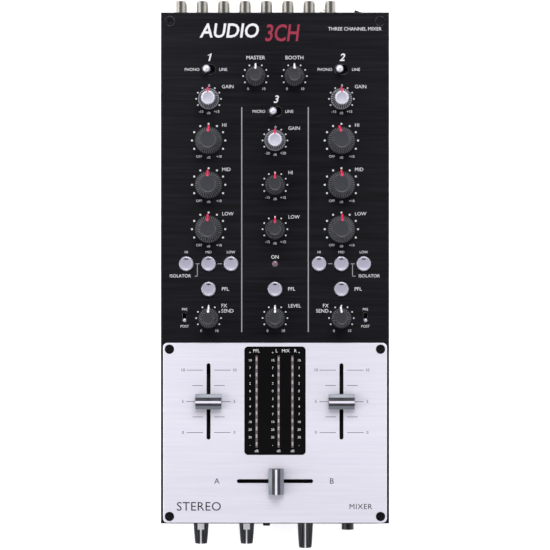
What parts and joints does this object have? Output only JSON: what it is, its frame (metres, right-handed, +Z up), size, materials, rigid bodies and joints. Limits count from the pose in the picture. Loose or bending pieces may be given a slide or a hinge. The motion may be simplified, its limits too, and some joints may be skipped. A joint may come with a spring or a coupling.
{
  "type": "dj mixer",
  "caption": "Slim table-top DJ mixer with rotary controls, push buttons, toggles, channel faders, a crossfader and a metered silver fader plate.",
  "frame": {"origin": "middle of the whole object's footprint, on the surface its feet stand on", "axes": "+X to the user's right, +Y from the user towards the rear sockets, +Z up out of the control panel"},
  "size_m": [0.1586, 0.3856, 0.0881],
  "materials": {
    "tray_paint": "fine textured black powder coat",
    "black_anodised": "black anodised brushed",
    "silver_aluminium": "brushed silver",
    "gloss_window": "gloss black",
    "lamp_bars": "smoked diffuser",
    "black_screws": "black oxide",
    "foot_rubber": "moulded",
    "steel_screws": "zinc plated",
    "zinc_steel": "zinc plated",
    "switch_plastic": "moulded black",
    "lamp_lens": "tinted lens, unlit",
    "circuit_board": "green lacquer",
    "supply_parts": "lacquered transformer",
    "socket_plastic": "moulded black with plated sleeves",
    "socket_metal": "nickel plated",
    "inlet_plastic": "moulded black",
    "rocker_plastic": "moulded black",
    "cap_plastic": "moulded dark grey with a pale ridge",
    "polished_lever": "polished",
    "button_silver": "silver lacquer",
    "knob_silver": "satin silver",
    "knob_grey": "soft-touch dark grey",
    "knob_black": "moulded black",
    "knob_front": "moulded grey"
  },
  "bodies": {
    "root": {"base_tray": "tray_paint", "circuit_boards": "circuit_board", "earth_post": "socket_metal", "fader_bodies": "zinc_steel", "fader_plate": "silver_aluminium", "front_wall": "tray_paint", "jack_sockets": "socket_metal", "mains_inlet": "inlet_plastic", "meter_lamps": "lamp_bars", "meter_window": "gloss_window", "panel_screws": "black_screws", "phono_sockets": "socket_plastic", "pot_bodies": "zinc_steel", "pot_nuts": "zinc_steel", "power_lamp": "lamp_lens", "power_supply": "supply_parts", "rear_wall": "tray_paint", "rocker_frame": "inlet_plastic", "rubber_feet": "foot_rubber", "switch_bodies": "switch_plastic", "top_panel": "black_anodised", "tray_screws": "steel_screws"},
    "knob_master": {"knob_master": "knob_black"},
    "knob_booth": {"knob_booth": "knob_black"},
    "knob_gain_1": {"knob_gain_1": "knob_silver"},
    "knob_high_1": {"knob_high_1": "knob_grey"},
    "knob_mid_1": {"knob_mid_1": "knob_grey"},
    "knob_low_1": {"knob_low_1": "knob_grey"},
    "knob_send_1": {"knob_send_1": "knob_black"},
    "knob_gain_2": {"knob_gain_2": "knob_silver"},
    "knob_high_2": {"knob_high_2": "knob_grey"},
    "knob_mid_2": {"knob_mid_2": "knob_grey"},
    "knob_low_2": {"knob_low_2": "knob_grey"},
    "knob_send_2": {"knob_send_2": "knob_black"},
    "knob_gain_3": {"knob_gain_3": "knob_silver"},
    "knob_high_3": {"knob_high_3": "knob_black"},
    "knob_low_3": {"knob_low_3": "knob_black"},
    "knob_level_3": {"knob_level_3": "knob_black"},
    "knob_phones_level": {"knob_phones_level": "knob_front"},
    "knob_phones_mix": {"knob_phones_mix": "knob_front"},
    "knob_fader_curve": {"knob_fader_curve": "knob_front"},
    "button_cue_1": {"button_cue_1": "button_silver"},
    "button_cue_2": {"button_cue_2": "button_silver"},
    "button_cue_3": {"button_cue_3": "button_silver"},
    "button_cut_high_1": {"button_cut_high_1": "button_silver"},
    "button_cut_mid_1": {"button_cut_mid_1": "button_silver"},
    "button_cut_low_1": {"button_cut_low_1": "button_silver"},
    "button_cut_high_2": {"button_cut_high_2": "button_silver"},
    "button_cut_mid_2": {"button_cut_mid_2": "button_silver"},
    "button_cut_low_2": {"button_cut_low_2": "button_silver"},
    "lever_source_1": {"lever_source_1": "polished_lever"},
    "lever_source_2": {"lever_source_2": "polished_lever"},
    "lever_source_3": {"lever_source_3": "polished_lever"},
    "lever_send_point_1": {"lever_send_point_1": "polished_lever"},
    "lever_send_point_2": {"lever_send_point_2": "polished_lever"},
    "lever_reverse": {"lever_reverse": "switch_plastic"},
    "fader_cap_1": {"fader_cap_1": "cap_plastic"},
    "fader_cap_2": {"fader_cap_2": "cap_plastic"},
    "crossfader_cap": {"crossfader_cap": "cap_plastic"},
    "power_rocker": {"power_rocker": "rocker_plastic"}
  },
  "joints": [
    {"name": "master_turn", "type": "hinge", "parent": "root", "child": "knob_master", "pos_m": [-0.0135, 0.1392, 0.0725], "axis": [0, 0, 1], "range_deg": [-150, 150]},
    {"name": "booth_turn", "type": "hinge", "parent": "root", "child": "knob_booth", "pos_m": [0.0135, 0.1392, 0.0725], "axis": [0, 0, 1], "range_deg": [-150, 150]},
    {"name": "gain_1_turn", "type": "hinge", "parent": "root", "child": "knob_gain_1", "pos_m": [-0.0461, 0.1234, 0.0725], "axis": [0, 0, 1], "range_deg": [-154, 146]},
    {"name": "high_1_turn", "type": "hinge", "parent": "root", "child": "knob_high_1", "pos_m": [-0.0461, 0.0945, 0.0725], "axis": [0, 0, 1], "range_deg": [-150, 150]},
    {"name": "mid_1_turn", "type": "hinge", "parent": "root", "child": "knob_mid_1", "pos_m": [-0.0461, 0.0637, 0.0725], "axis": [0, 0, 1], "range_deg": [-154, 146]},
    {"name": "low_1_turn", "type": "hinge", "parent": "root", "child": "knob_low_1", "pos_m": [-0.0461, 0.0329, 0.0725], "axis": [0, 0, 1], "range_deg": [-154, 146]},
    {"name": "send_1_turn", "type": "hinge", "parent": "root", "child": "knob_send_1", "pos_m": [-0.0461, -0.0288, 0.0725], "axis": [0, 0, 1], "range_deg": [-150, 150]},
    {"name": "gain_2_turn", "type": "hinge", "parent": "root", "child": "knob_gain_2", "pos_m": [0.0461, 0.1234, 0.0725], "axis": [0, 0, 1], "range_deg": [-150, 150]},
    {"name": "high_2_turn", "type": "hinge", "parent": "root", "child": "knob_high_2", "pos_m": [0.0461, 0.0945, 0.0725], "axis": [0, 0, 1], "range_deg": [-158, 142]},
    {"name": "mid_2_turn", "type": "hinge", "parent": "root", "child": "knob_mid_2", "pos_m": [0.0461, 0.0637, 0.0725], "axis": [0, 0, 1], "range_deg": [-150, 150]},
    {"name": "low_2_turn", "type": "hinge", "parent": "root", "child": "knob_low_2", "pos_m": [0.0461, 0.0329, 0.0725], "axis": [0, 0, 1], "range_deg": [-147, 153]},
    {"name": "send_2_turn", "type": "hinge", "parent": "root", "child": "knob_send_2", "pos_m": [0.0461, -0.0288, 0.0725], "axis": [0, 0, 1], "range_deg": [-153, 147]},
    {"name": "gain_3_turn", "type": "hinge", "parent": "root", "child": "knob_gain_3", "pos_m": [0, 0.0945, 0.0725], "axis": [0, 0, 1], "range_deg": [-150, 150]},
    {"name": "high_3_turn", "type": "hinge", "parent": "root", "child": "knob_high_3", "pos_m": [0, 0.0637, 0.0725], "axis": [0, 0, 1], "range_deg": [-150, 150]},
    {"name": "low_3_turn", "type": "hinge", "parent": "root", "child": "knob_low_3", "pos_m": [0, 0.0329, 0.0725], "axis": [0, 0, 1], "range_deg": [-150, 150]},
    {"name": "level_3_turn", "type": "hinge", "parent": "root", "child": "knob_level_3", "pos_m": [0, -0.0288, 0.0725], "axis": [0, 0, 1], "range_deg": [-150, 150]},
    {"name": "phones_level_turn", "type": "hinge", "parent": "root", "child": "knob_phones_level", "pos_m": [-0.0525, -0.17, 0.034], "axis": [0, -1, 0], "range_deg": [-150, 150]},
    {"name": "phones_mix_turn", "type": "hinge", "parent": "root", "child": "knob_phones_mix", "pos_m": [-0.0201, -0.17, 0.034], "axis": [0, -1, 0], "range_deg": [-150, 150]},
    {"name": "fader_curve_turn", "type": "hinge", "parent": "root", "child": "knob_fader_curve", "pos_m": [0.0215, -0.17, 0.034], "axis": [0, -1, 0], "range_deg": [-150, 150]},
    {"name": "cue_1_press", "type": "slide", "parent": "root", "child": "button_cue_1", "axis": [0, 0, -1], "range_m": [0, 0.0012], "stiffness_N_per_m": 250},
    {"name": "cue_2_press", "type": "slide", "parent": "root", "child": "button_cue_2", "axis": [0, 0, -1], "range_m": [0, 0.0012], "stiffness_N_per_m": 250},
    {"name": "cue_3_press", "type": "slide", "parent": "root", "child": "button_cue_3", "axis": [0, 0, -1], "range_m": [0, 0.0012], "stiffness_N_per_m": 250},
    {"name": "cut_high_1_press", "type": "slide", "parent": "root", "child": "button_cut_high_1", "axis": [0, 0, -1], "range_m": [0, 0.0012], "stiffness_N_per_m": 250},
    {"name": "cut_mid_1_press", "type": "slide", "parent": "root", "child": "button_cut_mid_1", "axis": [0, 0, -1], "range_m": [0, 0.0012], "stiffness_N_per_m": 250},
    {"name": "cut_low_1_press", "type": "slide", "parent": "root", "child": "button_cut_low_1", "axis": [0, 0, -1], "range_m": [0, 0.0012], "stiffness_N_per_m": 250},
    {"name": "cut_high_2_press", "type": "slide", "parent": "root", "child": "button_cut_high_2", "axis": [0, 0, -1], "range_m": [0, 0.0012], "stiffness_N_per_m": 250},
    {"name": "cut_mid_2_press", "type": "slide", "parent": "root", "child": "button_cut_mid_2", "axis": [0, 0, -1], "range_m": [0, 0.0012], "stiffness_N_per_m": 250},
    {"name": "cut_low_2_press", "type": "slide", "parent": "root", "child": "button_cut_low_2", "axis": [0, 0, -1], "range_m": [0, 0.0012], "stiffness_N_per_m": 250},
    {"name": "source_1_throw", "type": "hinge", "parent": "root", "child": "lever_source_1", "pos_m": [-0.0461, 0.1439, 0.0665], "axis": [0, 1, 0], "range_deg": [0, 13.4]},
    {"name": "source_2_throw", "type": "hinge", "parent": "root", "child": "lever_source_2", "pos_m": [0.0461, 0.1439, 0.0665], "axis": [0, 1, 0], "range_deg": [0, 13.4]},
    {"name": "source_3_throw", "type": "hinge", "parent": "root", "child": "lever_source_3", "pos_m": [0, 0.1147, 0.0665], "axis": [0, 1, 0], "range_deg": [0, 13.4]},
    {"name": "send_point_1_slide", "type": "slide", "parent": "root", "child": "lever_send_point_1", "axis": [0, 1, 0], "range_m": [0, 0.0038]},
    {"name": "send_point_2_slide", "type": "slide", "parent": "root", "child": "lever_send_point_2", "axis": [0, 1, 0], "range_m": [0, 0.0038]},
    {"name": "reverse_slide", "type": "slide", "parent": "root", "child": "lever_reverse", "axis": [1, 0, 0], "range_m": [0, 0.004]},
    {"name": "fader_1_slide", "type": "slide", "parent": "root", "child": "fader_cap_1", "axis": [0, 1, 0], "range_m": [-0.0225, 0.0225]},
    {"name": "fader_2_slide", "type": "slide", "parent": "root", "child": "fader_cap_2", "axis": [0, 1, 0], "range_m": [-0.0225, 0.0225]},
    {"name": "crossfader_slide", "type": "slide", "parent": "root", "child": "crossfader_cap", "axis": [1, 0, 0], "range_m": [-0.0233, 0.0217]},
    {"name": "power_rock", "type": "hinge", "parent": "root", "child": "power_rocker", "pos_m": [0.062, 0.1805, 0.057], "axis": [0, 0, 1], "range_deg": [0, 20]}
  ]
}
